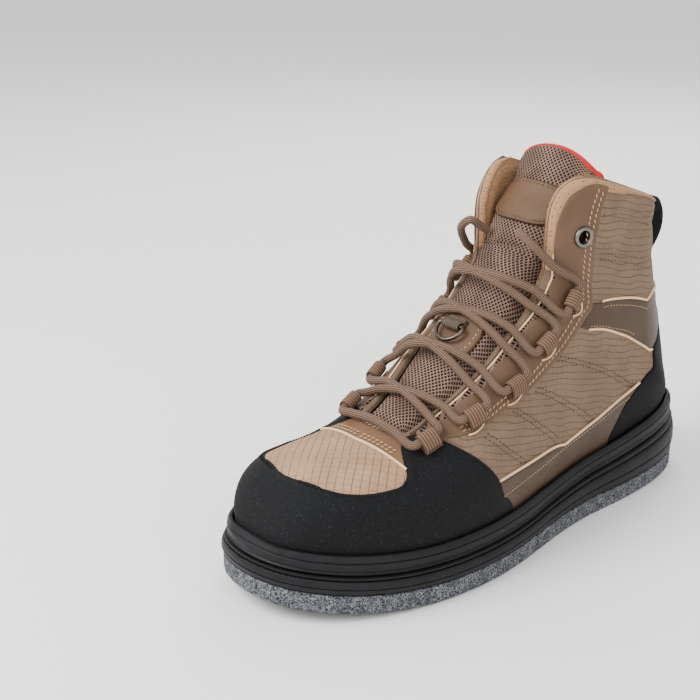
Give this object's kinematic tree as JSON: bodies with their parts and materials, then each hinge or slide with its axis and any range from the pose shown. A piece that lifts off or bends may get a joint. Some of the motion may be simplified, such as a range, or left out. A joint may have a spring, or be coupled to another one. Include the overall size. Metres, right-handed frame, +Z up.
{
  "type": "wading boot",
  "caption": "Left laced ankle-high wading boot, empty, with a felt outsole, stepped rubber cup midsole, hollow upper, padded tongue, toe cap and heel counter",
  "frame": {"origin": "on the floor under the middle of the sole, halfway between heel and toe tip", "axes": "+Z up, toe towards -Y and heel towards +Y, +X towards the outer side of the left foot"},
  "size_m": [0.1238, 0.3188, 0.2072],
  "materials": {
    "felt": "dense speckled grey felt",
    "midsole_rubber": "moulded matt black rubber",
    "insole_foam": "dark knit over foam",
    "ripstop_fabric": "tan woven ripstop with a dark grid",
    "toe_rubber": "grained black coated leather",
    "counter_leather": "smooth black synthetic leather",
    "brown_leather": "smooth brown synthetic leather",
    "tongue_mesh": "open spacer mesh over padding",
    "dark_metal": "dark coated wire",
    "dark_webbing": "dark grey woven webbing",
    "brown_webbing": "brown woven webbing",
    "lace_cord": "round braided polyester",
    "eyelet_metal": "satin plated metal"
  },
  "bodies": {
    "root": {"felt_outsole": "felt", "midsole": "midsole_rubber", "insole": "insole_foam", "upper": "ripstop_fabric", "toe_cap": "toe_rubber", "heel_counter": "counter_leather", "lower_band_lateral": "brown_leather", "lower_band_medial": "brown_leather", "eyestay_lateral": "brown_leather", "eyestay_medial": "brown_leather", "tongue": "tongue_mesh", "tongue_badge": "brown_leather", "tongue_patch": "brown_leather", "d_ring": "dark_metal", "ring_tab": "dark_webbing", "pull_loop": "dark_webbing", "lace": "lace_cord", "collar_eyelet_lateral": "eyelet_metal", "collar_eyelet_medial": "eyelet_metal", "drain_eyelet_front": "eyelet_metal", "drain_eyelet_rear": "eyelet_metal", "lace_loop_lateral_1": "brown_webbing", "lace_loop_lateral_2": "brown_webbing", "lace_loop_lateral_3": "brown_webbing", "lace_loop_lateral_4": "brown_webbing", "lace_loop_lateral_5": "brown_webbing", "lace_loop_medial_1": "brown_webbing", "lace_loop_medial_2": "brown_webbing", "lace_loop_medial_3": "brown_webbing", "lace_loop_medial_4": "brown_webbing", "lace_loop_medial_5": "brown_webbing"}
  },
  "joints": []
}
